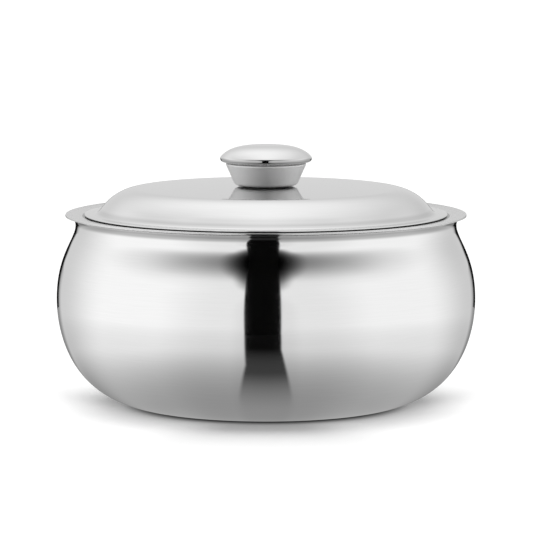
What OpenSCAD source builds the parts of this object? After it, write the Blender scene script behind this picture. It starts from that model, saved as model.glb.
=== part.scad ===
// Insulated casserole for keeping flat breads warm: a double-walled steel pot with a foam-filled
// lid that lifts off by a two-piece steel knob. Everything is turned about the Z axis, and the
// pot stands on z = 0.

/* [Pot] */
// Inside radius of the bowl at its mouth
mouth_r = 99; // [85:0.5:115]
// Room for foam between the bowl and the neck of the outer shell
neck_foam = 8.8; // [6:0.1:12]
// How far the belly stands out beyond the neck
belly_bulge = 10.9; // [4:0.1:18]
// How far the rim reaches out beyond the neck
rim_overhang = 5.7; // [5:0.1:9]
// Height of the rim above the table
pot_h = 110.4; // [95:0.1:130]
// Height of the widest line of the belly
belly_z = 62; // [52:0.5:72]
// Radius of the ring that the pot stands on
base_r = 67; // [52:0.5:80]
// Width of the standing ring
foot_w = 4; // [3:0.1:6]
// Depth of the recess inside the standing ring
recess_depth = 3; // [2.6:0.1:5]

/* [Curves of the outer shell] */
// Angle at which the wall leaves the table, in degrees
base_angle = 5.5; // [4:0.1:20]
// Fullness of the curve where it leaves the base
base_pull = 0.8; // [0.6:0.01:0.95]
// Fullness of the belly below its widest line
belly_low_pull = 0.38; // [0.25:0.01:0.6]
// Fullness of the belly above its widest line
belly_high_pull = 0.6; // [0.4:0.01:0.75]
// Fullness of the curve into the neck
neck_pull = 0.2; // [0.1:0.01:0.4]
// Radius of the flare from the neck into the rim
flare_r = 5.2; // [3:0.1:6]
// Slope of the rim outside the lid's seat, in degrees
rim_slope = 6; // [3:0.5:9]

/* [Bowl] */
// Thickness of foam under the bowl
floor_foam = 17; // [12:0.5:24]
// Draft of the bowl's wall, in degrees
bowl_draft = 1.5; // [0.5:0.1:4]
// Radius of the bowl's bottom corner
bowl_corner_r = 22; // [12:0.5:30]
// Radius of the bowl's edge at the mouth
mouth_round = 1.5; // [1.2:0.1:2]

/* [Lid] */
// How far the lid's flange reaches beyond the mouth
lid_overlap = 4.6; // [4:0.1:6]
// Height of the dome above the lid's flange
dome_h = 15.5; // [12:0.1:24]
// Width of the lid's flat flange
flange_w = 4.7; // [4:0.1:7]
// Angle of the dome's side, in degrees
dome_angle = 50.5; // [38:0.5:55]
// Radius of the dome's shoulder
shoulder_r = 27.4; // [15:0.1:32]
// Radius between the dome's side and the flange
dome_foot_r = 5; // [3:0.5:9]
// Slope that the crown reaches at the shoulder, in degrees
crown_slope = 1.5; // [0.5:0.1:3]
// Depth of the lid's plug below its seat
plug_depth = 12; // [8:0.5:18]
// Radius of the plug's bottom corner
plug_corner_r = 5; // [3:0.5:7]
// Step from the edge of the cover in to the edge of the liner
edge_step = 1.8; // [1:0.1:2]
// Room between the plug and the mouth
plug_clear = 1.2; // [0.8:0.1:1.8]
// Room between the liner and its seat on the rim
seat_clear = 0.05; // [0.02:0.01:0.1]

/* [Knob] */
// Radius of the knob's cap
cap_r = 26.2; // [20:0.1:32]
// Height of the knob above its gasket
knob_h = 23; // [20:0.1:30]
// Height of the cap's rolled edge, above its underside, up to the top of the knob
cap_h = 9.5; // [6:0.1:11]
// Angle of the cap at its edge, in degrees
cap_edge_angle = 50; // [35:1:60]
// Fullness of the cap at its top
cap_top_pull = 0.2; // [0.1:0.01:0.4]
// Fullness of the cap near its edge
cap_edge_pull = 0.38; // [0.3:0.01:0.5]
// Radius of the cap's rolled edge
cap_bead_r = 1.9; // [1.2:0.05:2.4]
// Radius of the cup's foot
cup_foot_r = 17.6; // [14:0.1:20]
// Rounding of the cup's foot
cup_foot_round = 3.2; // [1.2:0.1:4]
// How far the cup's lip stays inside the cap's edge
cup_inset = 3.1; // [2.5:0.1:4]
// Depth of the groove between the cup's lip and the cap
groove_depth = 0.8; // [0.6:0.1:1]
// Height of the groove
groove_h = 1.2; // [1.1:0.1:2]

/* [Knob fastening] */
// Diameter of the screw's thread
screw_d = 5; // [4:0.5:6]
// Diameter of the screw's head
screw_head_d = 9.5; // [8.5:0.1:11]
// Height of the screw's head
screw_head_h = 3; // [2.5:0.1:4]
// Length of thread that stands out above the nut
screw_end = 1; // [0.5:0.1:2]
// Width of the nut across its flats
nut_af = 8; // [7.5:0.1:10]
// Height of the nut
nut_h = 4; // [3:0.1:5]
// Radius of the gasket under the knob
gasket_r = 13; // [11:0.1:14]
// Thickness of the gasket
gasket_t = 0.5; // [0.4:0.1:1.2]
// Radius of the backing washer under the cover
backing_r = 15; // [10:0.5:20]
// Thickness of the backing washer
backing_t = 1; // [0.8:0.1:2]
// Radius of the spring washer
spring_r = 4.6; // [4.2:0.1:5.5]
// Thickness of the spring washer
spring_t = 1.2; // [1:0.1:1.6]

/* [Base and fill plugs] */
// Radius of the raised middle of the base cover
base_dish_r = 40; // [25:0.5:46]
// Radius of the foam-filling hole in the pot
pot_hole_r = 8; // [5:0.5:12]
// Radius of the foam-filling hole in the lid
lid_hole_r = 6; // [4:0.5:10]
// Width of a plug's head beyond its hole
plug_head_w = 3; // [2:0.1:5]
// Thickness of a plug's head
plug_head_t = 1; // [0.8:0.1:1.2]
// Length of a plug above its head
plug_shank = 5; // [3:0.1:8]
// How far a plug's barb stands out
plug_barb = 0.4; // [0.2:0.05:0.6]

/* [Sheet and clearances] */
// Thickness of the outer shell's sheet
shell_t = 0.5; // [0.4:0.05:0.7]
// Thickness of the bowl's sheet
bowl_t = 0.5; // [0.4:0.05:0.7]
// Thickness of the lid cover's sheet
cover_t = 0.6; // [0.4:0.05:0.8]
// Thickness of the lid liner's sheet
liner_t = 0.5; // [0.4:0.05:0.7]
// Thickness of the base cover's sheet
base_t = 0.5; // [0.4:0.05:0.7]
// Thickness of the knob's sheet
knob_t = 0.6; // [0.5:0.05:0.7]
// Room between the foam and what it fills
foam_clear = 0.1; // [0.05:0.01:0.2]
// Room round a screw, a plug or a washer in its hole
fit_clear = 0.05; // [0.02:0.01:0.1]
// Room between the base cover and the corner of its recess
base_clear = 0.3; // [0.2:0.1:0.8]

/* [Hidden] */
$fn = 128;

curve_steps = 14;
arc_step = 9;

steel = [0.80, 0.81, 0.82];
dark_steel = [0.62, 0.63, 0.64];
foam_yellow = [0.90, 0.83, 0.62];
black_rubber = [0.08, 0.08, 0.08];
grey_plastic = [0.55, 0.56, 0.57];

// Pot: radii, from the mouth outwards
neck_r = mouth_r + bowl_t + neck_foam + shell_t;
belly_r = neck_r + belly_bulge;
rim_r = neck_r + rim_overhang;
lid_r = mouth_r + lid_overlap;
seat_margin = 0.9;
seat_r = lid_r + seat_margin;
seat_z = pot_h - (rim_r - seat_r) * tan(rim_slope);

// The rim is the bowl's flange lying on the shell's flange, and the shell's edge is below both
rim_down = [sin(rim_slope), -cos(rim_slope)];
rim_edge = [rim_r, pot_h] + (bowl_t + shell_t) * rim_down;
flare_end_r = neck_r + flare_r * (1 - sin(rim_slope));
flare_end_z = rim_edge.y - (rim_edge.x - flare_end_r) * tan(rim_slope);
neck_z = flare_end_z - flare_r * cos(rim_slope);

// Base: the recess leaves a standing ring, and the base cover lies on the recess's floor
foot_round = 1.2;
recess_r = base_r - foot_w;
base_cover_r = recess_r - foot_round - base_clear;
base_dish_round = 2;
base_dish_depth = plug_head_t + 0.2;
base_dish_slope = 4;

// Bowl
bowl_floor_z = recess_depth + shell_t + floor_foam + bowl_t;
bowl_floor_r = mouth_r - (seat_z - bowl_floor_z) * tan(bowl_draft);

// Lid: heights, from the seat upwards
liner_z = seat_z + seat_clear;
flange_z = liner_z + liner_t;
flange_top_z = flange_z + cover_t;
crown_z = flange_top_z + dome_h;
plug_r = mouth_r - plug_clear;
plug_round = 1;
plug_bottom_z = liner_z - plug_depth;
liner_edge_r = lid_r - edge_step;

// The crown's edge radius follows from the height that the shoulder, the side and the foot take up
dome_end_r = lid_r - flange_w;
side_run = 1 / tan(dome_angle);
crown_fall = tan(crown_slope / 2);
round_run = shoulder_r * (sin(dome_angle) - sin(crown_slope)) + dome_foot_r * sin(dome_angle);
round_fall = shoulder_r * (cos(crown_slope) - cos(dome_angle)) + dome_foot_r * (1 - cos(dome_angle));
crown_edge_r = (dome_end_r - round_run - (dome_h - round_fall) * side_run) / (1 - crown_fall * side_run);
crown_edge_z = crown_z - crown_edge_r * crown_fall;
crown_arc_r = crown_edge_r / sin(crown_slope);

// Knob: heights, from the crown upwards
screw_hole_r = screw_d / 2 + fit_clear;
cup_z = crown_z + gasket_t;
knob_top_z = cup_z + knob_h;
cap_under_z = knob_top_z - cap_h;
cup_lip_z = cap_under_z - groove_h;
cup_lip_r = cap_r - cup_inset;
groove_r = cup_lip_r - groove_depth;
cup_lip_round = 0.9;
cup_flange_round = 0.6;
cup_flange_z = cap_under_z + knob_t;
cup_flange_r = cap_r - cap_bead_r - knob_t;
cap_lip_r = groove_r + cup_flange_round + foam_clear;

function unit(v) = v / norm(v);
function left_of(v) = [-v.y, v.x];
function reversed(path) = [for (i = [len(path) - 1 : -1 : 0]) path[i]];
function steps_for(angle) = max(2, ceil(abs(angle) / arc_step));

// A cubic curve from p0 to p3 that leaves towards p1 and arrives from p2
function curve(p0, p1, p2, p3) = [
    for (i = [0 : curve_steps])
        let (t = i / curve_steps, u = 1 - t)
            u * u * u * p0 + 3 * u * u * t * p1 + 3 * u * t * t * p2 + t * t * t * p3
];

// An arc about a centre, from one angle to another
function arc(centre, r, from, to) =
    let (n = steps_for(to - from))
        [for (i = [0 : n]) let (a = from + (to - from) * i / n) centre + r * [cos(a), sin(a)]];

// The arc that rounds the corner of a path
function corner_arc(before, corner, after, r) =
    let (
        into = unit(corner - before),
        out = unit(after - corner),
        bend = acos(into * out),
        side = sign(cross(into, out)),
        start = corner - into * r * tan(bend / 2),
        centre = start + side * r * left_of(into),
        from = atan2(start.y - centre.y, start.x - centre.x)
    )
        arc(centre, r, from, from + side * bend);

// A path through corners given as [x, y, radius]
function rounded(corners) = [
    for (i = [0 : len(corners) - 1])
        let (here = [corners[i].x, corners[i].y])
            each (i == 0 || i == len(corners) - 1)
                ? [here]
                : corner_arc(
                    [corners[i - 1].x, corners[i - 1].y], here,
                    [corners[i + 1].x, corners[i + 1].y], corners[i].z)
];

// A path moved sideways, to its left for a positive distance. Points on the axis stay on it
function sideways(path, distance) = [
    for (i = [0 : len(path) - 1])
        let (
            here = path[i],
            last = len(path) - 1,
            into = i == 0 ? path[1] - here : here - path[i - 1],
            out = i == last ? into : path[i + 1] - here,
            a = unit(left_of(into)),
            b = unit(left_of(out)),
            push = distance * (a + b) / (1 + a * b)
        )
            [here.x == 0 ? 0 : here.x + push.x, here.y + push.y]
];

// Sheet metal turned about the axis, with its thickness to the left of the path
module sheet(path, t) {
    rotate_extrude() polygon(concat(path, reversed(sideways(path, t))));
}

module ring(outer_r, inner_r, h, z) {
    translate([0, 0, z]) difference() {
        cylinder(r = outer_r, h = h);
        translate([0, 0, -1]) cylinder(r = inner_r, h = h + 2);
    }
}

// Outside of the outer shell, from its filling hole out under the pot and up to the rim
shell_path = concat(
    rounded([
        [pot_hole_r, recess_depth, 0],
        [recess_r, recess_depth, foot_round],
        [recess_r, 0, foot_round],
        [base_r, 0, 0]
    ]),
    [for (p = curve(
        [base_r, 0],
        [base_r, 0] + base_pull * (belly_r - base_r) * [cos(base_angle), sin(base_angle)],
        [belly_r, belly_z * (1 - belly_low_pull)],
        [belly_r, belly_z])) if (p.y > 0) p],
    [for (p = curve(
        [belly_r, belly_z],
        [belly_r, belly_z + belly_high_pull * (neck_z - belly_z)],
        [neck_r, neck_z - neck_pull * (neck_z - belly_z)],
        [neck_r, neck_z])) if (p.y > belly_z) p],
    [for (p = arc([neck_r + flare_r, neck_z], flare_r, 180, 90 + rim_slope)) if (p.y > neck_z) p],
    [rim_edge]
);

// Inside of the bowl, from the middle of its floor up to the mouth and out to the rim
bowl_path = rounded([
    [0, bowl_floor_z, 0],
    [bowl_floor_r, bowl_floor_z, bowl_corner_r],
    [mouth_r, seat_z, mouth_round],
    [seat_r, seat_z, mouth_round],
    [rim_r, pot_h, 0]
]);

// Underside of the base cover, which is dished away from the plug's head
base_cover_path = rounded([
    [0, recess_depth - base_t - base_dish_depth, 0],
    [base_dish_r, recess_depth - base_t - base_dish_depth, base_dish_round],
    [base_dish_r + base_dish_slope, recess_depth - base_t, base_dish_round],
    [base_cover_r, recess_depth - base_t, 0]
]);

// Top of the lid's cover, from the crown out to the edge of the flange
cover_path = concat(
    arc([0, crown_z - crown_arc_r], crown_arc_r, 90, 90 - crown_slope),
    [for (p = arc(
        [crown_edge_r - shoulder_r * sin(crown_slope), crown_edge_z - shoulder_r * cos(crown_slope)],
        shoulder_r, 90 - crown_slope, 90 - dome_angle)) if (p.x > crown_edge_r) p],
    arc([dome_end_r, flange_top_z + dome_foot_r], dome_foot_r, -90 - dome_angle, -90),
    [[lid_r, flange_top_z]]
);

// Underside of the lid's liner, from its filling hole out over the plug to the edge of its flange
pan_bottom = [
    [lid_hole_r, plug_bottom_z, 0],
    [plug_r, plug_bottom_z, plug_corner_r]
];
liner_path = rounded(concat(pan_bottom, [
    [plug_r, liner_z, plug_round],
    [liner_edge_r, liner_z, 0]
]));

// Outside of the knob's cap, from its top over the rolled edge and in under the cup's flange
cap_bead = [cap_r - cap_bead_r, cap_under_z + cap_bead_r];
cap_edge = cap_bead + cap_bead_r * [sin(cap_edge_angle), cos(cap_edge_angle)];
cap_path = concat(
    curve(
        [0, knob_top_z],
        [cap_top_pull * cap_edge.x, knob_top_z],
        cap_edge + cap_edge_pull * cap_edge.x * [-cos(cap_edge_angle), sin(cap_edge_angle)],
        cap_edge),
    [for (p = arc(cap_bead, cap_bead_r, 90 - cap_edge_angle, -90)) if (p.y < cap_edge.y) p],
    [[cap_lip_r, cap_under_z]]
);

// Outside of the knob's cup, from its screw hole up to the flange that the cap is rolled round
cup_path = rounded([
    [screw_hole_r, cup_z, 0],
    [cup_foot_r, cup_z, cup_foot_round],
    [cup_lip_r, cup_lip_z, cup_lip_round],
    [groove_r, cup_lip_z + groove_depth, cup_lip_round / 2],
    [groove_r, cup_flange_z, cup_flange_round],
    [cup_flange_r, cup_flange_z, 0]
]);

// Heights of the knob's hardware inside the lid, from the cover's underside downwards
cover_under = sideways(cover_path, -cover_t);
backing_z = lookup(backing_r, cover_under) - backing_t;
spring_z = backing_z - spring_t;
screw_head_z = spring_z - screw_head_h;
screw_end_z = cup_z + knob_t + nut_h + screw_end;

module outer_shell() {
    color(steel) sheet(shell_path, shell_t);
}

module inner_bowl() {
    color(steel) sheet(bowl_path, -bowl_t);
}

module pot_insulation() {
    foam_neck_r = neck_r - shell_t - foam_clear;
    foam_top_z = pot_h - (rim_r - foam_neck_r) * tan(rim_slope) - (bowl_t + foam_clear) / cos(rim_slope);
    pocket_r = pot_hole_r + plug_barb + foam_clear;
    pocket_z = recess_depth + plug_shank + foam_clear;
    skin_z = recess_depth + shell_t + foam_clear;
    outer_side = [
        for (p = sideways(shell_path, shell_t + foam_clear)) if (p.x > pocket_r && p.y <= neck_z) p
    ];
    bowl_side = [for (p = sideways(bowl_path, -bowl_t - foam_clear)) if (p.x < foam_neck_r) p];
    color(foam_yellow) rotate_extrude() polygon(concat(
        [[0, pocket_z], [pocket_r, pocket_z], [pocket_r, skin_z]],
        outer_side,
        [[foam_neck_r, foam_top_z]],
        reversed(bowl_side)
    ));
}

module base_cover() {
    color(steel) sheet(base_cover_path, base_t);
}

// A push-in plug with its head under the sheet at height z, and its barb above the sheet
module fill_plug(hole_r, sheet_t, z) {
    barb_h = 1;
    translate([0, 0, z]) {
        translate([0, 0, -plug_head_t]) cylinder(r = hole_r + plug_head_w, h = plug_head_t);
        cylinder(r = hole_r - fit_clear, h = plug_shank);
        translate([0, 0, sheet_t + fit_clear]) cylinder(r = hole_r + plug_barb, h = barb_h);
    }
}

module pot_fill_plug() {
    color(grey_plastic) fill_plug(pot_hole_r, shell_t, recess_depth);
}

module lid_cover() {
    color(steel) difference() {
        sheet(cover_path, -cover_t);
        translate([0, 0, flange_z]) cylinder(r = screw_hole_r, h = 2 * dome_h);
    }
}

module lid_liner() {
    color(steel) sheet(liner_path, liner_t);
}

module lid_insulation() {
    foam_r = plug_r - liner_t - foam_clear;
    pocket_r = lid_hole_r + plug_barb + foam_clear;
    pocket_z = plug_bottom_z + plug_shank + foam_clear;
    skin_z = plug_bottom_z + liner_t + foam_clear;
    pan = sideways(rounded(concat(pan_bottom, [[plug_r, flange_z, 0]])), liner_t + foam_clear);
    under_cover = sideways(cover_path, -cover_t - foam_clear);
    color(foam_yellow) difference() {
        rotate_extrude() polygon(concat(
            [[0, pocket_z], [pocket_r, pocket_z], [pocket_r, skin_z]],
            [for (p = pan) if (p.x > pocket_r) p],
            [[foam_r, lookup(foam_r, under_cover)]],
            reversed([for (p = under_cover) if (p.x < foam_r) p])
        ));
        hardware_pocket(backing_r, backing_z);
        hardware_pocket(screw_head_d / 2, screw_head_z);
    }
}

// Room in the foam for hardware of a radius r that reaches down to a height z
module hardware_pocket(r, z) {
    translate([0, 0, z - foam_clear]) cylinder(r = r + foam_clear, h = crown_z - z);
}

module lid_fill_plug() {
    color(grey_plastic) fill_plug(lid_hole_r, liner_t, plug_bottom_z);
}

module knob_cap() {
    color(steel) sheet(cap_path, -knob_t);
}

module knob_cup() {
    color(steel) sheet(cup_path, knob_t);
}

module knob_nut() {
    color(dark_steel) translate([0, 0, cup_z + knob_t]) difference() {
        cylinder(d = nut_af / cos(30), h = nut_h, $fn = 6);
        translate([0, 0, -1]) cylinder(r = screw_hole_r, h = nut_h + 2);
    }
}

module knob_gasket() {
    color(black_rubber) ring(gasket_r, screw_hole_r, gasket_t, crown_z);
}

module knob_backing_washer() {
    color(dark_steel) ring(backing_r, screw_hole_r, backing_t, backing_z);
}

module knob_spring_washer() {
    color(dark_steel) ring(spring_r, screw_hole_r, spring_t, spring_z);
}

module knob_screw() {
    color(dark_steel) {
        translate([0, 0, spring_z]) cylinder(d = screw_d, h = screw_end_z - spring_z);
        translate([0, 0, screw_head_z]) difference() {
            cylinder(d = screw_head_d, h = screw_head_h);
            cross_recess();
        }
    }
}

// The cross for a screwdriver, in the underside of the screw's head
module cross_recess() {
    slot_w = 1.2;
    slot_l = 0.55 * screw_head_d;
    slot_depth = 0.5 * screw_head_h;
    for (turn = [0, 90])
        rotate(turn) translate([-slot_l / 2, -slot_w / 2, -1]) cube([slot_l, slot_w, slot_depth + 1]);
}

outer_shell();
inner_bowl();
pot_insulation();
base_cover();
pot_fill_plug();
lid_cover();
lid_liner();
lid_insulation();
lid_fill_plug();
knob_cap();
knob_cup();
knob_nut();
knob_gasket();
knob_backing_washer();
knob_spring_washer();
knob_screw();
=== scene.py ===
# %% [markdown]
# # An insulated casserole for flat breads
# A round steel pot keeps breads warm between two skins of stainless steel with foam between
# them. A foam-filled lid lies on its rim and lifts straight off by a hollow steel knob.
# Every steel skin was drawn, pressed or spun round one axis, so each is modelled here as a
# half section that is turned about that axis and given the thickness of its sheet. The foam,
# the plugs, the gasket and the screw with its nut and washers keep the shapes of the packed
# model and get finishes of their own.

import math

import bmesh
import bpy
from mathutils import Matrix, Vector


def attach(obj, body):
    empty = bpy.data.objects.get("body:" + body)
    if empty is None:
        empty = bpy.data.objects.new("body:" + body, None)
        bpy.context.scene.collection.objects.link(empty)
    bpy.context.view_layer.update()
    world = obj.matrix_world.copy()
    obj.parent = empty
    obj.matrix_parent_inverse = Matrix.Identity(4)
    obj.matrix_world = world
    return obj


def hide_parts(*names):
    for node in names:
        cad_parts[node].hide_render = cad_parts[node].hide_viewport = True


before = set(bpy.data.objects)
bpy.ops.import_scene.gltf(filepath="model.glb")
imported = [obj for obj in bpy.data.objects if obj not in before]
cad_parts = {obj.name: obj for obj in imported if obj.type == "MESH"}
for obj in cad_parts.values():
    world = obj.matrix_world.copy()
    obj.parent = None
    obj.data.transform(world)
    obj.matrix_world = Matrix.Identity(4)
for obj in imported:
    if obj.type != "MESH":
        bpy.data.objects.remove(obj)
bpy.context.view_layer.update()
bpy.ops.object.select_all(action="DESELECT")

# %% [markdown]
# The picture was taken with a long lens from a little above the rim, so the sides of the pot
# run almost parallel. A long focal length at 2.5 m gives the same flat perspective. Lengths
# below are written in millimetres and turned into metres by one factor.

# %% The camera
MM = 0.001
IMAGE_SIDE_PX = 533
MM_PER_PX = 0.5721
CAMERA_DISTANCE = 2500
CAMERA_HEIGHT_ANGLE = math.radians(6.2)
CAMERA_CLIP = 100
LOOK_AT = Vector((0.29, 0, 79.8))
SENSOR_MM = 36

camera_data = bpy.data.cameras.new("camera")
camera_data.sensor_width = SENSOR_MM
camera_data.lens = SENSOR_MM * CAMERA_DISTANCE / (IMAGE_SIDE_PX * MM_PER_PX)
camera_data.clip_start = CAMERA_CLIP * MM
camera = bpy.data.objects.new("camera", camera_data)
bpy.context.collection.objects.link(camera)
camera_back = Vector((0, -math.cos(CAMERA_HEIGHT_ANGLE), math.sin(CAMERA_HEIGHT_ANGLE)))
camera.location = (LOOK_AT + camera_back * CAMERA_DISTANCE) * MM
camera.rotation_euler = (-camera_back).to_track_quat("-Z", "Y").to_euler()
bpy.context.scene.camera = camera
print("lens:", round(camera_data.lens, 1), "mm")

# %% [markdown]
# A turned skin starts as a line from the axis outwards, half of its section. The long curves
# of the belly and the knob are drawn with the handles of a cubic curve, and the rounds of the
# dome are arcs. Small corners stay sharp in the line and are rounded later by a bevel. The
# two helpers below only give points: the mesh is made from them with Blender's tools.

# %% Points along curves of the half section
CURVE_STEPS = 36
ARC_STEP_DEG = 3


def curve(start, start_handle, end_handle, end, steps=CURVE_STEPS):
    points = []
    for i in range(steps + 1):
        t = i / steps
        u = 1 - t
        points.append(tuple(
            u ** 3 * a + 3 * u * u * t * b + 3 * u * t * t * c + t ** 3 * d
            for a, b, c, d in zip(start, start_handle, end_handle, end)))
    return points


def arc(centre, radius, from_deg, to_deg, step_deg=ARC_STEP_DEG):
    steps = max(2, math.ceil(abs(to_deg - from_deg) / step_deg))
    points = []
    for i in range(steps + 1):
        angle = math.radians(from_deg + (to_deg - from_deg) * i / steps)
        points.append((centre[0] + radius * math.cos(angle), centre[1] + radius * math.sin(angle)))
    return points


print("a quarter circle has", len(arc((0, 0), 1, 0, 90)), "points")

# %% [markdown]
# A plane is collapsed to one vertex, which is moved to the start of the line and extruded from
# point to point, as one draws a profile by hand. A vertex bevel on a corner of the line turns
# it into a true arc: for a round of radius r on a corner that bends by an angle, the bevel
# starts r times the tangent of half the angle away from the corner.

# %% Draw a half section
ROUND_STEP_DEG = 9


def draw_section(name, points):
    bpy.ops.mesh.primitive_plane_add(size=MM)
    section = bpy.context.object
    section.name = section.data.name = name
    bpy.ops.object.mode_set(mode="EDIT")
    bpy.ops.mesh.select_all(action="SELECT")
    bpy.ops.mesh.merge(type="CENTER")
    bpy.ops.transform.translate(value=(points[0][0] * MM, 0, points[0][1] * MM))
    for here, there in zip(points, points[1:]):
        step = ((there[0] - here[0]) * MM, 0, (there[1] - here[1]) * MM)
        bpy.ops.mesh.extrude_vertices_move(TRANSFORM_OT_translate={"value": step})
    bpy.ops.object.mode_set(mode="OBJECT")
    return section


def round_corner(section, points, at, radius):
    i = points.index(at)
    into = (Vector(at) - Vector(points[i - 1])).normalized()
    out = (Vector(points[i + 1]) - Vector(at)).normalized()
    bend = into.angle(out)
    bpy.ops.object.mode_set(mode="EDIT")
    bpy.ops.mesh.select_all(action="DESELECT")
    mesh = bmesh.from_edit_mesh(section.data)
    place = Vector((at[0] * MM, 0, at[1] * MM))
    min(mesh.verts, key=lambda vertex: (vertex.co - place).length).select = True
    mesh.select_flush_mode()
    bmesh.update_edit_mesh(section.data)
    bpy.ops.mesh.bevel(
        offset=radius * MM * math.tan(bend / 2), affect="VERTICES",
        segments=max(2, math.ceil(math.degrees(bend) / ROUND_STEP_DEG)))
    bpy.ops.object.mode_set(mode="OBJECT")


# %% [markdown]
# The line is spun once round the axis, which is what a lathe does to the real sheet. The spin
# leaves a doubled seam and, where the line starts on the axis, a pole of doubled points, so
# both are merged. Then the normals are made to point away from the metal, which lies to the
# left of the line unless the piece says otherwise.

# %% Spin a half section
TURN_STEPS = 192
MERGE_MM = 0.001


def spin_skin(section, points, metal_on_left=True):
    bpy.ops.object.mode_set(mode="EDIT")
    bpy.ops.mesh.select_all(action="SELECT")
    bpy.ops.mesh.spin(steps=TURN_STEPS, angle=math.tau, center=(0, 0, 0), axis=(0, 0, 1))
    bpy.ops.mesh.select_all(action="SELECT")
    bpy.ops.mesh.remove_doubles(threshold=MERGE_MM * MM)
    bpy.ops.mesh.normals_make_consistent(inside=False)
    along = (Vector(points[-1]) - Vector(points[-2])).normalized()
    away = Vector((along.y, 0, -along.x)) * (1 if metal_on_left else -1)
    end = Vector((points[-1][0] + points[-2][0], 0, points[-1][1] + points[-2][1])) * MM / 2
    mesh = bmesh.from_edit_mesh(section.data)
    mesh.normal_update()
    face = min(mesh.faces, key=lambda face: (face.calc_center_median() - end).length)
    if face.normal.dot(away) < 0:
        bpy.ops.mesh.flip_normals()
    bpy.ops.object.mode_set(mode="OBJECT")


# %% [markdown]
# The spun surface has no thickness yet. The sheet's is added on the side of the metal. Then a
# small bevel on the cut edge catches the light as a deburred edge does, and all gentle bends
# are shaded smooth. A last helper takes a piece through all of these steps.

# %% Give the skin the thickness of its sheet
EDGE_ROUND = 0.22
EDGE_SEGMENTS = 3
EDGE_SHARPER_THAN = math.radians(60)
SMOOTH_UP_TO = math.radians(30)


def thicken(skin, sheet_mm):
    bpy.ops.object.select_all(action="DESELECT")
    bpy.context.view_layer.objects.active = skin
    skin.select_set(True)
    wall = skin.modifiers.new("sheet thickness", "SOLIDIFY")
    wall.thickness = sheet_mm * MM
    wall.offset = -1
    wall.use_even_offset = True
    wall.use_quality_normals = True
    bpy.ops.object.modifier_apply(modifier=wall.name)
    edge = skin.modifiers.new("deburred edge", "BEVEL")
    edge.width = EDGE_ROUND * MM
    edge.segments = EDGE_SEGMENTS
    edge.limit_method = "ANGLE"
    edge.angle_limit = EDGE_SHARPER_THAN
    bpy.ops.object.modifier_apply(modifier=edge.name)
    bpy.ops.object.shade_smooth_by_angle(angle=SMOOTH_UP_TO)
    print(skin.name, "has", len(skin.data.polygons), "faces")


def turned_skin(name, points, rounds, sheet_mm, metal_on_left=True):
    section = draw_section(name, points)
    for at, radius in rounds:
        round_corner(section, points, at, radius)
    spin_skin(section, points, metal_on_left)
    thicken(section, sheet_mm)
    return section


# %% [markdown]
# ## The pot
# The outer shell is one drawing of thin stainless steel, spun in at the neck and flared into
# the rim. Its line runs from the foam-filling hole under the pot, round the standing ring, up
# the belly and over the flare. The belly is two cubic curves that meet at the widest line,
# where both run straight up.

# %% The outer shell
SHELL_SHEET = 0.5
FILL_HOLE_R = 8
RECESS_Z = 3
FOOT_IN_R, FOOT_OUT_R = 63, 67
FOOT_ROUND = 1.2
FOOT_HANDLE = (108.966, 4.041)
BELLY_R, BELLY_Z = 119.7, 62
BELLY_HANDLE_LOW_Z, BELLY_HANDLE_HIGH_Z = 38.44, 87.268
NECK_R, NECK_Z = 108.8, 104.113
NECK_HANDLE_Z = 95.691
FLARE_R = 5.2
RIM_SLOPE_DEG = 6
RIM_UNDER = (114.60, 109.405)

belly_low = curve(
    (FOOT_OUT_R, 0), FOOT_HANDLE, (BELLY_R, BELLY_HANDLE_LOW_Z), (BELLY_R, BELLY_Z))
belly_high = curve(
    (BELLY_R, BELLY_Z), (BELLY_R, BELLY_HANDLE_HIGH_Z), (NECK_R, NECK_HANDLE_Z), (NECK_R, NECK_Z))
flare = arc((NECK_R + FLARE_R, NECK_Z), FLARE_R, 180, 90 + RIM_SLOPE_DEG)
shell_line = [
    (FILL_HOLE_R, RECESS_Z), (FOOT_IN_R, RECESS_Z), (FOOT_IN_R, 0),
    *belly_low, *belly_high[1:], *flare[1:], RIM_UNDER]
outer_shell = turned_skin(
    "spun_outer_shell", shell_line,
    [((FOOT_IN_R, RECESS_Z), FOOT_ROUND), ((FOOT_IN_R, 0), FOOT_ROUND)], SHELL_SHEET)

# %% [markdown]
# The bowl inside is a deeper drawing with a slightly tapered wall and a wide round at the
# floor. Its flange makes the seat for the lid and then slopes up over the flange of the
# shell, where the two edges are joined.

# %% The inner bowl
BOWL_SHEET = 0.5
BOWL_FLOOR_Z = 21.0
BOWL_FLOOR_STOPS = (0, 20, 50)
BOWL_CORNER = (96.687, BOWL_FLOOR_Z)
BOWL_CORNER_ROUND = 22
MOUTH = (99, 109.349)
SEAT_EDGE = (104.5, 109.349)
SEAT_ROUND = 1.5
RIM_TOP = (114.5, 110.4)

bowl_floor = [(r, BOWL_FLOOR_Z) for r in BOWL_FLOOR_STOPS]
inner_bowl = turned_skin(
    "drawn_inner_bowl", [*bowl_floor, BOWL_CORNER, MOUTH, SEAT_EDGE, RIM_TOP],
    [(BOWL_CORNER, BOWL_CORNER_ROUND), (MOUTH, SEAT_ROUND), (SEAT_EDGE, SEAT_ROUND)],
    BOWL_SHEET, metal_on_left=False)

# %% [markdown]
# A stamped disc closes the recess under the pot. Its middle is dished downwards to clear the
# head of the filling plug, and its outer ring is spot welded to the recess.

# %% The base cover
BASE_SHEET = 0.5
DISH_Z, BASE_RING_Z = 1.3, 2.5
DISH_STOPS = (0, 14)
DISH_EDGE = (40, DISH_Z)
DISH_FOOT = (44, BASE_RING_Z)
DISH_ROUND = 2
BASE_COVER_R = 61.5

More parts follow.
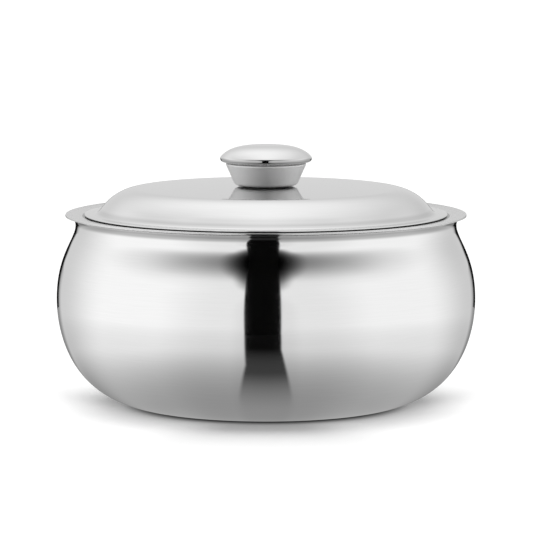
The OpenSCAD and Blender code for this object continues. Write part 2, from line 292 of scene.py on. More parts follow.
base_line = [*[(r, DISH_Z) for r in DISH_STOPS], DISH_EDGE, DISH_FOOT, (BASE_COVER_R, BASE_RING_Z)]
base_cover = turned_skin(
    "stamped_base_cover", base_line,
    [(DISH_EDGE, DISH_ROUND), (DISH_FOOT, DISH_ROUND)], BASE_SHEET)

# %% [markdown]
# ## The lid
# The cover is almost flat on top, turns down over a wide shoulder and ends in a flat flange
# that lies over the rim. The crown has a slight rise, as a pressed sheet needs one to stay
# stiff. A screw hole in its middle takes the knob.

# %% The lid's cover
COVER_SHEET = 0.6
SCREW_HOLE_R = 2.55
CROWN_Z = 125.999
CROWN_RISE_R = 2763.2
CROWN_STOPS = (SCREW_HOLE_R, 16, 30, 42, 52, 61, 67)
SHOULDER_CENTRE = (71.615, 97.661)
SHOULDER_R = 27.4
SHOULDER_TOP_DEG = 88.5
SHOULDER_STEP_DEG = 1.5
DOME_SIDE_DEG = 50.5
FILLET_CENTRE = (98.9, 115.499)
FILLET_R = 5
LID_EDGE = (103.6, 110.499)

crown = [(r, CROWN_Z - r * r / (2 * CROWN_RISE_R)) for r in CROWN_STOPS]
shoulder = arc(
    SHOULDER_CENTRE, SHOULDER_R, SHOULDER_TOP_DEG, 90 - DOME_SIDE_DEG, SHOULDER_STEP_DEG)
fillet = arc(FILLET_CENTRE, FILLET_R, -90 - DOME_SIDE_DEG, -90)
lid_cover = turned_skin(
    "pressed_lid_cover", [*crown, *shoulder, *fillet, LID_EDGE], [], COVER_SHEET,
    metal_on_left=False)

# %% [markdown]
# The liner is a shallow pan whose plug drops into the mouth of the pot and keeps the lid in
# place. Its narrow flange lies on the seat and holds the cover's flange a little above it,
# which leaves the dark gap that runs round under the lid.

# %% The lid's liner
LINER_SHEET = 0.5
PLUG_Z, LINER_FLANGE_Z = 97.399, 109.399
LINER_STOPS = (6, 40)
PLUG_CORNER = (97.8, PLUG_Z)
PLUG_ROUND = 5
LINER_SEAT = (97.8, LINER_FLANGE_Z)
LINER_SEAT_ROUND = 1
LINER_EDGE_R = 101.8

liner_pan = [(r, PLUG_Z) for r in LINER_STOPS]
lid_liner = turned_skin(
    "drawn_lid_liner", [*liner_pan, PLUG_CORNER, LINER_SEAT, (LINER_EDGE_R, LINER_FLANGE_Z)],
    [(PLUG_CORNER, PLUG_ROUND), (LINER_SEAT, LINER_SEAT_ROUND)], LINER_SHEET)

# %% [markdown]
# ## The knob
# The knob is hollow: a cup that tapers to its foot and a domed cap whose edge is rolled round
# the cup's flange. The cap's dome is a cubic curve whose two handles are shares of its radius.

# %% The knob's cap
KNOB_SHEET = 0.6
CAP_TOP_Z = 149.499
CAP_EDGE = (25.755, 143.120)
CAP_EDGE_DEG = 50
CAP_TOP_SHARE, CAP_EDGE_SHARE = 0.2, 0.38
CAP_STEPS = 28
BEAD_CENTRE = (24.3, 141.899)
BEAD_R = 1.9
BEAD_STEP_DEG = 8
BEAD_END = (23.0, 139.999)

cap_handle = CAP_EDGE_SHARE * CAP_EDGE[0]
cap_dome = curve(
    (0, CAP_TOP_Z), (CAP_TOP_SHARE * CAP_EDGE[0], CAP_TOP_Z),
    (CAP_EDGE[0] - cap_handle * math.cos(math.radians(CAP_EDGE_DEG)),
     CAP_EDGE[1] + cap_handle * math.sin(math.radians(CAP_EDGE_DEG))),
    CAP_EDGE, CAP_STEPS)
bead = arc(BEAD_CENTRE, BEAD_R, 90 - CAP_EDGE_DEG, -90, BEAD_STEP_DEG)
knob_cap = turned_skin(
    "rolled_knob_cap", [*cap_dome, *bead[1:], BEAD_END], [], KNOB_SHEET, metal_on_left=False)

# %% [markdown]
# The cup is a plain cone from a rounded foot to a lip. Above the lip it is drawn in to a short
# neck, and the groove that this leaves under the cap reads as a dark line.

# %% The knob's cup
CUP_FOOT_Z, CUP_FLANGE_Z = 126.499, 140.599
CUP_FOOT = (17.6, CUP_FOOT_Z)
CUP_LIP = (23.1, 138.799)
CUP_GROOVE = (22.3, 139.599)
CUP_NECK_TOP = (22.3, CUP_FLANGE_Z)
CUP_FLANGE_R = 23.7
CUP_ROUNDS = [(CUP_FOOT, 3.2), (CUP_LIP, 0.9), (CUP_GROOVE, 0.45), (CUP_NECK_TOP, 0.6)]

cup_line = [
    (SCREW_HOLE_R, CUP_FOOT_Z), CUP_FOOT, CUP_LIP, CUP_GROOVE, CUP_NECK_TOP,
    (CUP_FLANGE_R, CUP_FLANGE_Z)]
knob_cup = turned_skin("spun_knob_cup", cup_line, CUP_ROUNDS, KNOB_SHEET)

# %% [markdown]
# ## Finishes
# Materials are built from nodes, so they need no pictures. Colours are picked as hex values,
# as a colour picker shows them, and one function turns them into the linear light that a
# renderer adds up. Another adds a node with its settings and inputs: a list fills the inputs
# in their order, and a dictionary by their names. A node that is given as an input is linked
# by its first output. Many nodes here map a range. Their inputs are a value, where its change
# starts and ends, and what comes out before and after, which is 0 and 1 if nothing is said.

# %% Helpers for materials
SMOOTH = {"interpolation_type": "SMOOTHSTEP"}


def linear(hex_colour):
    channels = [int(hex_colour[i:i + 2], 16) / 255 for i in (1, 3, 5)]
    return [c / 12.92 if c <= 0.04045 else ((c + 0.055) / 1.055) ** 2.4 for c in channels] + [1]


def add(tree, kind, inputs=(), **settings):
    node = tree.nodes.new("ShaderNode" + kind)
    for name, value in settings.items():
        setattr(node, name, value)
    for socket, value in inputs.items() if isinstance(inputs, dict) else enumerate(inputs):
        if isinstance(value, bpy.types.Node):
            value = value.outputs[0]
        if isinstance(value, bpy.types.NodeSocket):
            tree.links.new(value, node.inputs[socket])
        else:
            node.inputs[socket].default_value = value
    return node


def new_material(name):
    material = bpy.data.materials.new(name)
    material.use_nodes = True
    material.node_tree.nodes.clear()
    return material, material.node_tree


print("mid grey #808080 is", round(linear("#808080")[0], 3), "in linear light")

# %% [markdown]
# Spun steel carries fine polishing lines that run round the axis, each only part of the way.
# They come from noise that changes quickly from line to line and slowly along a line, read at
# a point made of the radius, the height and the direction from the axis. Real lines are about
# 0.05 mm apart, too fine for the picture, so they are drawn 8 to 30 times as coarse.

# %% Polishing lines round the axis
STREAKS_ROUND = 6
LINE_DETAIL = 2.0


def turning_noise(tree, line_mm):
    place = add(tree, "TexCoord").outputs["Object"]
    axes = add(tree, "SeparateXYZ", [place]).outputs
    flat = add(tree, "CombineXYZ", [axes["X"], axes["Y"]])
    radius = add(tree, "VectorMath", [flat], operation="LENGTH").outputs["Value"]
    heading = add(tree, "VectorMath", [flat], operation="NORMALIZE")
    turn = add(tree, "SeparateXYZ", [heading]).outputs
    lines = 1 / (line_mm * MM)
    along = add(tree, "Math", [turn["X"], STREAKS_ROUND], operation="MULTIPLY")
    across = add(tree, "Math", [turn["Y"], STREAKS_ROUND], operation="MULTIPLY")
    out = add(tree, "Math", [radius, lines], operation="MULTIPLY")
    up = add(tree, "Math", [axes["Z"], lines], operation="MULTIPLY")
    point = add(tree, "CombineXYZ", [out, up, along])
    noise = add(tree, "TexNoise", {
        "Vector": point, "W": across, "Scale": 1.0, "Detail": LINE_DETAIL}, noise_dimensions="4D")
    return noise, {"height": axes["Z"], "radius": radius}


# %% [markdown]
# Stainless steel of the 18/8 kind is a neutral grey metal that mirrors about three quarters of
# the light. The wheel leaves it bright but not glassy: a faint haze along the lines, which the
# anisotropic lobe gives, and shallow waves from the spinning, which bend straight edges in the
# reflection a little. In narrow corners and under overhangs, where little light gets in, the tone
# is painted darker as painted shade. Such a band of painted shade is given by where it fades in,
# is full and fades out, in millimetres of height or radius, and by the share of its tone that it keeps.

# %% Spun steel
WAVE_MM = 36
WAVE_DETAIL = 1.0
GLOSS_NOISE = (0.3, 0.7)
TONE_NOISE = (0.25, 0.75)
LINE_TONES = (0.97, 1.0)


def spun_steel(name, colour, roughness, haze, spread, line_mm, line_depth_mm, wave_depth_mm, painted_shade=None):
    material, tree = new_material(name)
    fine, measures = turning_noise(tree, line_mm)
    place = add(tree, "TexCoord").outputs["Object"]
    wave = add(tree, "TexNoise", {
        "Vector": place, "Scale": 1 / (WAVE_MM * MM), "Detail": WAVE_DETAIL})
    gloss = add(tree, "MapRange", [fine, *GLOSS_NOISE, roughness - haze, roughness + haze])
    tone = add(tree, "MapRange", [fine, *TONE_NOISE, *LINE_TONES])
    # a band of painted shade: the tone is darkened where shade falls
    if painted_shade:
        measure, fades_in, full, still_full, faded_out, kept = painted_shade
        where = measures[measure]
        start = add(tree, "MapRange", [where, fades_in * MM, full * MM], **SMOOTH)
        end = add(tree, "MapRange", [where, faded_out * MM, still_full * MM], **SMOOTH)
        band = add(tree, "Math", [start, end], operation="MULTIPLY")
        darker = add(tree, "MapRange", [band, 0.0, 1.0, 1.0, kept])
        tone = add(tree, "Math", [tone, darker], operation="MULTIPLY")
    tint = add(tree, "Mix", {"Factor": 1.0, "A": linear(colour), "B": tone},
               data_type="RGBA", blend_type="MULTIPLY").outputs["Result"]
    waves = add(tree, "Bump", {"Height": wave, "Distance": wave_depth_mm * MM, "Strength": 1.0})
    grain = add(tree, "Bump", {
        "Height": fine, "Distance": line_depth_mm * MM, "Strength": 1.0, "Normal": waves})
    around = add(tree, "Tangent", direction_type="RADIAL", axis="Z")
    steel = add(tree, "BsdfPrincipled", {
        "Base Color": tint, "Metallic": 1.0, "Roughness": gloss, "Anisotropic": spread,
        "Normal": grain, "Tangent": around})
    add(tree, "OutputMaterial", {"Surface": steel})
    return material


# %% [markdown]
# The outside is buffed almost to a mirror. Its tone is painted darker, as painted shade, under
# the flare of the rim, in the corner where the dome of the lid meets its flange, and on the
# rolled edge of the knob's cap.

# %% Buffed steel
# painted shade: bands of darker tone under the rim, in the lid's corner and on the cap's rolled edge
SHADE_UNDER_RIM = ("height", 104.0, 106.0, 107.7, 108.9, 0.62)
SHADE_IN_FLANGE_CORNER = ("height", 110.7, 111.5, 112.4, 114.2, 0.84)
SHADE_ON_ROLLED_EDGE = ("height", 139.8, 140.0, 142.0, 143.0, 0.55)

buffed_shell = spun_steel(
    "buffed stainless steel, shell", "#E3E3E3", roughness=0.055, haze=0.015, spread=0.5,
    line_mm=0.5, line_depth_mm=0.0003, wave_depth_mm=0.02, painted_shade=SHADE_UNDER_RIM)
buffed_lid = spun_steel(
    "buffed stainless steel, lid", "#E3E3E3", roughness=0.065, haze=0.015, spread=0.5,
    line_mm=0.5, line_depth_mm=0.0003, wave_depth_mm=0.015, painted_shade=SHADE_IN_FLANGE_CORNER)
buffed_cap = spun_steel(
    "buffed stainless steel, knob cap", "#E3E3E3", roughness=0.07, haze=0.015, spread=0.3,
    line_mm=0.4, line_depth_mm=0.0003, wave_depth_mm=0.004, painted_shade=SHADE_ON_ROLLED_EDGE)
print("buffed:", buffed_shell.name, "|", buffed_lid.name, "|", buffed_cap.name)

# %% [markdown]
# The bowl and the lid's liner are only spun and scoured, which leaves a satin grey that
# spreads a reflection along the lines. The cup of the knob was turned to an even satin that
# shows no lines. The base is stamped and left as rolled. The strips of the bowl and the liner
# that lie in the gap under the lid get little light, so their tone is painted darkest there as
# painted shade.

# %% Satin and rolled steel
# painted shade on the strips of bowl and liner in the gap under the lid
SHADE_ON_SEAT_STRIP = ("radius", 102.4, 103.2, 104.6, 105.2, 0.35)
SHADE_ON_LINER_STRIP = ("radius", 100.6, 101.2, 103.0, 104.0, 0.2)

satin_cup = spun_steel(
    "satin turned stainless steel, knob cup", "#E0E0E0", roughness=0.5, haze=0.02, spread=0.0,
    line_mm=0.4, line_depth_mm=0.0001, wave_depth_mm=0.004)
satin_bowl = spun_steel(
    "satin spun stainless steel, bowl", "#DEDEDE", roughness=0.21, haze=0.03, spread=0.6,
    line_mm=0.8, line_depth_mm=0.0008, wave_depth_mm=0.02, painted_shade=SHADE_ON_SEAT_STRIP)
satin_liner = spun_steel(
    "satin spun stainless steel, liner", "#DCDCDC", roughness=0.24, haze=0.04, spread=0.6,
    line_mm=0.8, line_depth_mm=0.001, wave_depth_mm=0.02, painted_shade=SHADE_ON_LINER_STRIP)
rolled_base = spun_steel(
    "stamped stainless steel, base", "#CECECE", roughness=0.32, haze=0.06, spread=0.3,
    line_mm=1.5, line_depth_mm=0.002, wave_depth_mm=0.03)
print("satin:", satin_cup.name, "|", satin_bowl.name, "|", satin_liner.name)

# %% [markdown]
# Each finished skin takes the place of its plain node, which is hidden, rides on the same
# body, and gets its finish as its one material.

# %% Put the skins in place of their nodes
for piece, body, node, slot, finish in [
        (outer_shell, "pot", "outer_shell", "polished_shell", buffed_shell),
        (inner_bowl, "pot", "inner_bowl", "polished_bowl", satin_bowl),
        (base_cover, "pot", "base_cover", "base_steel", rolled_base),
        (lid_cover, "lid", "lid_cover", "polished_lid", buffed_lid),
        (lid_liner, "lid", "lid_liner", "liner_steel", satin_liner),
        (knob_cap, "lid", "knob_cap", "polished_knob", buffed_cap),
        (knob_cup, "lid", "knob_cup", "polished_knob", satin_cup)]:
    piece.data.materials.clear()
    piece.data.materials.append(finish)
    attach(piece, body)
    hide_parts(node)
    print(piece.name, "takes the place of", node)

# %% [markdown]
# ## The pieces that stay as packed
# Rigid polyurethane foam is poured in as a liquid that swells and sets against the steel. It
# shows a pale yellow skin with closed cells of about a millimetre, which a Voronoi pattern
# gives, and patches where it set a little darker.

# %% Rigid foam
CELL_MM = 1.2
CELL_DEPTH_MM = 0.2
PATCH_MM = 14

foam, tree = new_material("rigid polyurethane foam, poured")
place = add(tree, "TexCoord").outputs["Object"]
patches = add(tree, "TexNoise", {"Vector": place, "Scale": 1 / (PATCH_MM * MM), "Detail": 3.0})
cells = add(tree, "TexVoronoi", {"Vector": place, "Scale": 1 / (CELL_MM * MM)})
ochre = add(tree, "Mix", {"Factor": patches, "A": linear("#EFE2BC"), "B": linear("#DFCB96")},
            data_type="RGBA").outputs["Result"]
pits = add(tree, "Bump", {"Height": cells, "Distance": CELL_DEPTH_MM * MM, "Strength": 0.8})
skin = add(tree, "BsdfPrincipled", {"Base Color": ochre, "Roughness": 0.9, "Normal": pits})
add(tree, "OutputMaterial", {"Surface": skin})
print("foam cells:", CELL_MM, "mm")

# %% [markdown]
# The filling holes are closed with push-in plugs of moulded polypropylene, a waxy grey plastic
# with the fine matt texture that its mould was eroded to.

# %% Moulded plastic
TEXTURE_MM = 0.5
TEXTURE_DEPTH_MM = 0.03
PLASTIC_ROUGHNESS = (0.42, 0.6)

plastic, tree = new_material("moulded polypropylene, grey")
place = add(tree, "TexCoord").outputs["Object"]
texture = add(tree, "TexNoise", {"Vector": place, "Scale": 1 / (TEXTURE_MM * MM), "Detail": 2.0})
matt = add(tree, "MapRange", [texture, 0.0, 1.0, *PLASTIC_ROUGHNESS])
eroded = add(tree, "Bump", {"Height": texture, "Distance": TEXTURE_DEPTH_MM * MM, "Strength": 1.0})
moulded = add(tree, "BsdfPrincipled", {
    "Base Color": linear("#BCBDBF"), "Roughness": matt, "IOR": 1.49, "Normal": eroded})
add(tree, "OutputMaterial", {"Surface": moulded})
print("plastic texture:", TEXTURE_MM, "mm")

# %% [markdown]
# The gasket under the knob is black rubber. Chalk keeps it from sticking in its mould and
# turns it a matt, slightly cloudy dark grey.

# %% Pressed rubber
CHALK_MM = 3

rubber, tree = new_material("pressed black rubber")
place = add(tree, "TexCoord").outputs["Object"]
chalk = add(tree, "TexNoise", {"Vector": place, "Scale": 1 / (CHALK_MM * MM), "Detail": 4.0})
chalked = add(tree, "Mix", {"Factor": chalk, "A": linear("#454545"), "B": linear("#585857")},
              data_type="RGBA").outputs["Result"]
pressed = add(tree, "BsdfPrincipled", {"Base Color": chalked, "Roughness": 0.75, "IOR": 1.52})
add(tree, "OutputMaterial", {"Surface": pressed})
print("chalk clouds:", CHALK_MM, "mm")

# %% [markdown]
# The screw, nut and washers are mild steel plated with zinc. The plating is a thin bluish
# metal with a patchy, slightly cloudy gloss, so its roughness follows a soft noise.

# %% Zinc plating
CLOUD_MM = 2
CLOUD_NOISE = (0.3, 0.7)
PLATING_ROUGHNESS = (0.24, 0.4)

zinc, tree = new_material("zinc-plated steel, barrel plated")
place = add(tree, "TexCoord").outputs["Object"]
cloud = add(tree, "TexNoise", {"Vector": place, "Scale": 1 / (CLOUD_MM * MM), "Detail": 3.0})
plating = add(tree, "MapRange", [cloud, *CLOUD_NOISE, *PLATING_ROUGHNESS])
bluish = add(tree, "Mix", {"Factor": cloud, "A": linear("#CECFD0"), "B": linear("#C2C6CC")},
             data_type="RGBA").outputs["Result"]
plated = add(tree, "BsdfPrincipled", {"Base Color": bluish, "Metallic": 1.0, "Roughness": plating})
add(tree, "OutputMaterial", {"Surface": plated})
print("zinc clouds:", CLOUD_MM, "mm")

# %% [markdown]
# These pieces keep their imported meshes, so only the material in each slot is changed.

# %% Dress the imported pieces
for finish, names in [
        (foam, ["pot_insulation", "lid_insulation"]),
        (plastic, ["pot_fill_plug", "lid_fill_plug"]),
        (rubber, ["knob_gasket"]),
        (zinc, ["knob_nut", "knob_backing_washer", "knob_spring_washer", "knob_screw"])]:
    for name in names:
        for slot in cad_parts[name].material_slots:
            slot.material = finish
    print(finish.name, "on", ", ".join(names))

# %% [markdown]
# ## The studio
# The pot stands on a white sheet in a white tent. Polished metal shows only what stands round
# it, so the tent is what gives it its looks. Its wall is a little dimmer in front, most of all
# beside the gap for the camera, and much dimmer low down behind, and it falls off a little to
# the right. This function gives that for any direction, split into its parts to the right, to
# the back and up. The sheet uses it too, so the two meet without a line.

# %% The wall of the tent
WALL_FRONT = (-0.906, -0.451, 1.023, 1.183)
WALL_AT_GAP = (-0.94, -0.985, 0.0, 0.08)
WALL_BEHIND = (0.139, 0.942)
WALL_LOW = (0.216, 0.944, 0.46, 0.0)
WALL_SIDE = 0.317
WALL_SLANT = -0.025


def wall_brightness(tree, right, back, up):
    front = add(tree, "MapRange", [back, *WALL_FRONT], **SMOOTH)
    at_gap = add(tree, "MapRange", [back, *WALL_AT_GAP], **SMOOTH)
    front = add(tree, "Math", [front, at_gap], operation="SUBTRACT")
    behind = add(tree, "MapRange", [back, *WALL_BEHIND], **SMOOTH)
    low = add(tree, "MapRange", [up, *WALL_LOW], **SMOOTH)
    side = add(tree, "Math", [right, up], operation="MULTIPLY")
    low = add(tree, "Math", [side, WALL_SIDE, low], operation="MULTIPLY_ADD")
    dim = add(tree, "Math", [behind, low], operation="MULTIPLY")
    wall = add(tree, "Math", [front, dim], operation="SUBTRACT")
    slant = add(tree, "Math", [right, WALL_SLANT, 1.0], operation="MULTIPLY_ADD")
    return add(tree, "Math", [wall, slant], operation="MULTIPLY")


# %% [markdown]
# In front, above the camera, the tent is open to a dark ceiling. It is darkest straight ahead
# and evens out to a mid grey to the sides. Two round hoods over the lens, one above the other,
# darken it further. A hood is given by its height in degrees, the cosines of the angles at its
# edge and its middle, and the share of the light that it lets through there. The metal mirrors
# all this as the soft grey wings under the rim.

# %% The ceiling and the hoods
CEILING_STARTS = (0.461, 0.796, 0.0, 1.055)
CEILING_ENDS = (1.086, 0.662)
CEILING_IN_FRONT = (0.062, -0.491)
CEILING_SIDES = (-0.06, 1.475)
CEILING_SLOPE = (0.328, 0.704)
CEILING_EVEN = 0.583
HOODS = ((47.8, 0.922, 0.991, 0.0), (32.3, 0.958, 1.0, 0.1))
HOODS_LEFT = -0.03

world = bpy.data.worlds.new("white tent")
bpy.context.scene.world = world
world.use_nodes = True
world.cycles.sampling_method = "NONE"
tent = world.node_tree
tent.nodes.clear()
towards = add(tent, "TexCoord").outputs["Generated"]
way = add(tent, "SeparateXYZ", [towards]).outputs

above = add(tent, "MapRange", [way["Z"], *CEILING_STARTS], **SMOOTH)
below_top = add(tent, "MapRange", [way["Z"], *CEILING_ENDS], **SMOOTH)
in_front = add(tent, "MapRange", [way["Y"], *CEILING_IN_FRONT], **SMOOTH)
ceiling = add(tent, "Math", [above, below_top], operation="MULTIPLY")
ceiling = add(tent, "Math", [ceiling, in_front], operation="MULTIPLY")
beside = add(tent, "Math", [way["X"]], operation="ABSOLUTE")
beside = add(tent, "MapRange", [beside, *CEILING_SIDES], **SMOOTH)
slope = add(tent, "MapRange", [way["Z"], *CEILING_SLOPE], **SMOOTH)
slope = add(tent, "Math", [beside, slope], operation="MULTIPLY")
ceiling = add(tent, "Mix", {"Factor": slope, "A": ceiling, "B": CEILING_EVEN}, data_type="FLOAT")
open_share = add(tent, "Math", [1.0, ceiling], operation="SUBTRACT", use_clamp=True)
for height_deg, edge, middle, kept in HOODS:
    height = math.radians(height_deg)
    hood_way = Vector((HOODS_LEFT * math.cos(height), -math.cos(height), math.sin(height))).normalized()
    to_hood = add(tent, "VectorMath", [towards, hood_way], operation="DOT_PRODUCT").outputs["Value"]
    hood = add(tent, "MapRange", [to_hood, edge, middle, 1.0, kept], **SMOOTH)
    open_share = add(tent, "Math", [open_share, hood], operation="MULTIPLY")
print("the hoods hang", " and ".join(str(hood[0]) for hood in HOODS), "degrees up")

# %% [markdown]
# Only mirrored rays see the modelled tent. For soft light it is an even, weaker white, and
# the camera sees plain white paper behind the pot. The plain sRGB view keeps that paper white.

# %% The tent's light
SOFT_STRENGTH = 0.45
WHITE = linear("#FFFFFF")

bpy.context.scene.view_settings.view_transform = "Standard"
bright = wall_brightness(tent, way["X"], way["Y"], way["Z"])
wall = add(tent, "Math", [bright, open_share], operation="MULTIPLY")
rays = add(tent, "LightPath").outputs
soft = add(tent, "Background", {"Strength": SOFT_STRENGTH, "Color": WHITE})
mirrored = add(tent, "Background", {"Strength": wall, "Color": WHITE})
paper = add(tent, "Background", {"Strength": 1.0, "Color": WHITE})
in_gloss = add(tent, "MixShader", [rays["Is Glossy Ray"], soft, mirrored])
in_view = add(tent, "MixShader", [rays["Is Camera Ray"], in_gloss, paper])
add(tent, "OutputWorld", {"Surface": in_view})
print("the tent has", len(tent.nodes), "nodes")

# %% [markdown]
# A wide lamp from above and slightly behind gives the soft shadow, which so falls a little
# towards the camera. The lamp is as large as a ceiling of cloth, so the shadow has no edge,
# and it isn't mirrored, because the tent already stands for it in the metal.

# %% The top light
SOFTBOX_STRENGTH = 0.6 * math.pi
SOFTBOX_WIDTH = math.radians(75)
SOFTBOX_SHINES = Vector((0, -0.22, -1))

softbox_data = bpy.data.lights.new("overhead softbox", "SUN")
softbox_data.energy = SOFTBOX_STRENGTH
softbox_data.angle = SOFTBOX_WIDTH
softbox = bpy.data.objects.new("overhead softbox", softbox_data)
bpy.context.collection.objects.link(softbox)
softbox.rotation_euler = SOFTBOX_SHINES.to_track_quat("-Z", "Y").to_euler()
softbox.visible_glossy = False
print("top light:", round(softbox_data.energy, 2), "W/m2")

# %% [markdown]
# ## The sheet in the metal
# The sheet is white paper, and the polished belly mirrors it all round, so it is painted as a
# mirrored ray finds it. A ray that leaves the pot's side starts beside the axis. The direction
# that it took is the place's own direction, turned on by the pot's radius over the distance,
# and that gives the brightness of the wall behind the place. Lengths on the sheet are metres.

# %% Directions on the sheet
SHEET_WIDTH = 24
POT_R = 0.12

bpy.ops.mesh.primitive_plane_add(size=SHEET_WIDTH)
floor = bpy.context.object
floor.name = "white_sheet"
sheet_material, sheet = new_material("white paper sweep")
ground = add(sheet, "TexCoord").outputs["Object"]
place = add(sheet, "SeparateXYZ", [ground]).outputs
radius = add(sheet, "VectorMath", [ground], operation="LENGTH").outputs["Value"]
ahead = add(sheet, "Math", [place["Y"], -1.0], operation="MULTIPLY")
turned = add(sheet, "Math", [place["X"], ahead], operation="ARCTAN2")
half_turned = add(sheet, "Math", [turned, 0.5], operation="MULTIPLY")
offset = add(sheet, "Math", [half_turned], operation="SINE")
pot_share = add(sheet, "Math", [POT_R, radius], operation="DIVIDE")
turned = add(sheet, "Math", [offset, pot_share, turned], operation="MULTIPLY_ADD")
turned = add(sheet, "MapRange", [turned, -math.pi, math.pi, -math.pi, math.pi])
right = add(sheet, "Math", [turned], operation="SINE")
front = add(sheet, "Math", [turned], operation="COSINE")
back = add(sheet, "Math", [front, -1.0], operation="MULTIPLY")
far_wall = wall_brightness(sheet, right, back, 0.0)
print("the sheet is", round(floor.dimensions.x), "m wide")

# %% [markdown]
# The pot shades the paper round it, strongly out to about 20 cm and faintly out to 45 cm. In
# front the shade reaches 2 cm further, towards the side that the camera sees.

# %% Shade round the pot
FRONT_REACH = (-0.1, 0.9, 0.0, 0.022)
DEEPEST_SHADE = (0.75, 0.3, 0.45, 0.485)
NEAR_SHADE = (0.075, 0.19)
WIDE_SHADE = (0.15, 0.45, 0.17, 0.0)

front_reach = add(sheet, "MapRange", [front, *FRONT_REACH], **SMOOTH)
reach = add(sheet, "Math", [radius, front_reach], operation="SUBTRACT")
deepest = add(sheet, "MapRange", [right, *DEEPEST_SHADE], **SMOOTH)
near_shade = add(sheet, "MapRange", [reach, *NEAR_SHADE, deepest, 0.0], **SMOOTH)
wide_shade = add(sheet, "MapRange", [radius, *WIDE_SHADE], **SMOOTH)
shade = add(sheet, "Math", [near_shade, wide_shade])
lit = add(sheet, "Math", [1.0, shade], operation="SUBTRACT")
print("the strong shade ends", NEAR_SHADE[1], "m from the axis")

# %% [markdown]
# In front, the paper leads to the dark gap in the tent, so the metal mirrors a dark wedge that
# opens towards the camera and ends under the card. Each of its sides is given by the slope of
# a line, by how far it flares from that near the pot, and by where its soft edge lies. The
# wedge fades in from under the belly.

# %% The dark wedge in front
WEDGE_RIGHT = (-0.136, (0.2, 0.107, 0.0058, -0.0026), (0.002, -0.002))
WEDGE_LEFT = (0.2, (0.155, 0.105, 0.0018, 0.0085), (0.01, 0.014))
WEDGE_STARTS = (0.088, 0.143, 0.0, 0.865)
WEDGE_DEEPENS = (0.12, 0.212, 0.0, 0.13)
WEDGE_ENDS = (0.31, 0.3)

wedge = 1.0
for slope, flare, edge in (WEDGE_RIGHT, WEDGE_LEFT):
    flared = add(sheet, "MapRange", [ahead, *flare])
    off_line = add(sheet, "Math", [ahead, slope, place["X"]], operation="MULTIPLY_ADD")
    off_line = add(sheet, "Math", [off_line, flared])
    inside = add(sheet, "MapRange", [off_line, *edge], **SMOOTH)
    wedge = add(sheet, "Math", [inside, wedge], operation="MULTIPLY")
wedge_starts = add(sheet, "MapRange", [ahead, *WEDGE_STARTS], **SMOOTH)
wedge_deepens = add(sheet, "MapRange", [ahead, *WEDGE_DEEPENS], **SMOOTH)
wedge_depth = add(sheet, "Math", [wedge_starts, wedge_deepens])
wedge_ends = add(sheet, "MapRange", [ahead, *WEDGE_ENDS])
wedge = add(sheet, "Math", [wedge, wedge_depth], operation="MULTIPLY")
wedge = add(sheet, "Math", [wedge, wedge_ends], operation="MULTIPLY")
print("the wedge ends", WEDGE_ENDS[1], "m in front of the axis")

# %% [markdown]
# Behind the pot two black flags keep light off the paper between them. What the metal mirrors
# is the wall's brightness, less the shade, the wedge and the flags.

# %% The mirrored sheet, all together
BETWEEN_FLAGS = (0.88, 0.97)
FLAGS_START = (0.03, 0.12, 0.0, 0.6)

between = add(sheet, "MapRange", [back, *BETWEEN_FLAGS], **SMOOTH)
flags_start = add(sheet, "MapRange", [place["Y"], *FLAGS_START], **SMOOTH)
flags_shade = add(sheet, "Math", [between, flags_start], operation="MULTIPLY")
hidden = add(sheet, "Math", [wedge, flags_shade], operation="MAXIMUM")
shown = add(sheet, "Math", [1.0, hidden], operation="SUBTRACT")
shown = add(sheet, "Math", [shown, lit], operation="MULTIPLY")
shown = add(sheet, "Math", [shown, far_wall], operation="MULTIPLY")
mirrored_sheet = add(sheet, "Emission", {"Strength": shown})
print("the mirrored sheet has", len(sheet.nodes), "nodes so far")

# %% [markdown]
# The camera sees the paper itself with the lamp's soft shadow. Where the standing ring
# touches it, a painted shadow darkens the paper's colour as well. Further out a faint glow
# stands for the light that the bright belly throws back on the paper, and that is strongest at
# the pot's sides.

# %% How the sheet looks
PAINTED_CONTACT_SHADOW = (0.068, 0.084, 0.1, 1.0)
NEAR_GLOW = (0.069, 0.086, 0.0, 0.1)
FAR_GLOW = (0.1, 0.15, 0.0, 0.04)
SIDE_GLOW = (0.3, 0.85, 0.0, 0.24)
SIDE_GLOW_STARTS = (0.07, 0.1)
SIDE_GLOW_ENDS = (0.19, 0.12)

# painted contact shadow: the paper's colour darkens towards the standing ring
contact_shadow = add(sheet, "MapRange", [radius, *PAINTED_CONTACT_SHADOW], **SMOOTH)
white = add(sheet, "Mix", {"Factor": 1.0, "A": linear("#FCFCFC"), "B": contact_shadow},
            data_type="RGBA", blend_type="MULTIPLY").outputs["Result"]
paper = add(sheet, "BsdfDiffuse", {"Color": white})
near_glow = add(sheet, "MapRange", [radius, *NEAR_GLOW], **SMOOTH)
far_glow = add(sheet, "MapRange", [radius, *FAR_GLOW], **SMOOTH)
beside = add(sheet, "Math", [right], operation="ABSOLUTE")
beside = add(sheet, "MapRange", [beside, *SIDE_GLOW], **SMOOTH)
side_starts = add(sheet, "MapRange", [radius, *SIDE_GLOW_STARTS], **SMOOTH)
side_ends = add(sheet, "MapRange", [radius, *SIDE_GLOW_ENDS], **SMOOTH)
side_glow = add(sheet, "Math", [side_starts, side_ends], operation="MULTIPLY")
glow_sum = add(sheet, "Math", [near_glow, far_glow])
glow_sum = add(sheet, "Math", [side_glow, beside, glow_sum], operation="MULTIPLY_ADD")
glow = add(sheet, "Emission", {"Strength": glow_sum})
seen_paper = add(sheet, "AddShader", [paper, glow])
rays = add(sheet, "LightPath").outputs
mixed = add(sheet, "MixShader", [rays["Is Glossy Ray"], paper, mirrored_sheet])
chosen = add(sheet, "MixShader", [rays["Is Camera Ray"], mixed, seen_paper])
add(sheet, "OutputMaterial", {"Surface": chosen})
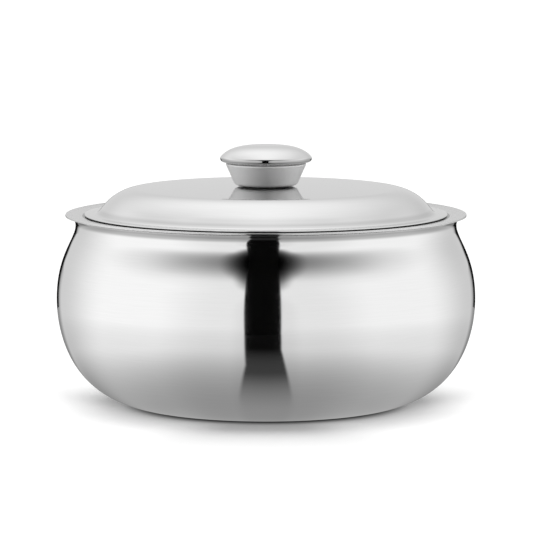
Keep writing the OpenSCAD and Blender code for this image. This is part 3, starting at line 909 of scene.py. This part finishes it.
sheet_material.cycles.emission_sampling = "NONE"
floor.data.materials.append(sheet_material)
print("the finished sheet has", len(sheet.nodes), "nodes")

# %% [markdown]
# Photographers put black cards beside polished things, because a white thing mirrored in
# white has no outline. One stands in front as the tent's gap, and two behind draw the dark
# lines down the pot's sides. Their edges fade, as the edge of a folded cloth does: a card is
# black over the middle share of its width and height and clear at its rim. Only the metal
# sees them.

# %% Black cards
def black_card(name, width, height, centre, faces, solid_width, solid_height):
    bpy.ops.mesh.primitive_plane_add(size=1)
    card = bpy.context.object
    card.name = name
    bpy.ops.object.mode_set(mode="EDIT")
    bpy.ops.mesh.select_all(action="SELECT")
    bpy.ops.transform.resize(value=(width * MM, height * MM, 1))
    bpy.ops.object.mode_set(mode="OBJECT")
    card.location = Vector(centre) * MM
    card.rotation_euler = (Vector(faces) - Vector(centre)).to_track_quat("Z", "Y").to_euler()
    material, tree = new_material("black velvet, " + name)
    place = add(tree, "TexCoord").outputs["Object"]
    sides = add(tree, "SeparateXYZ", [place]).outputs
    covers = 1.0
    for side, length, solid in (("X", width, solid_width), ("Y", height, solid_height)):
        reach = add(tree, "Math", [sides[side]], operation="ABSOLUTE")
        inside = add(tree, "MapRange", [reach, length * MM / 2, solid * length * MM / 2], **SMOOTH)
        covers = add(tree, "Math", [inside, covers], operation="MULTIPLY")
    velvet = add(tree, "BsdfDiffuse", {"Color": linear("#0A0A0A")})
    clear = add(tree, "BsdfTransparent")
    cut = add(tree, "MixShader", [covers, clear, velvet])
    add(tree, "OutputMaterial", {"Surface": cut})
    card.data.materials.append(material)
    card.visible_camera = False
    card.visible_diffuse = False
    card.visible_shadow = False
    print(name, "is", width, "by", height, "mm")


black_card("front_gap", width=87.5, height=520, centre=(-7.7, -300, 180), faces=(-7.7, 0, 180),
           solid_width=0.92, solid_height=0.8)
for name, side in (("back_flag_left", -1), ("back_flag_right", 1)):
    black_card(name, width=150, height=230, centre=(side * 215, 430, 0), faces=(side * 100, 0, 0),
               solid_width=0.4, solid_height=0.8)
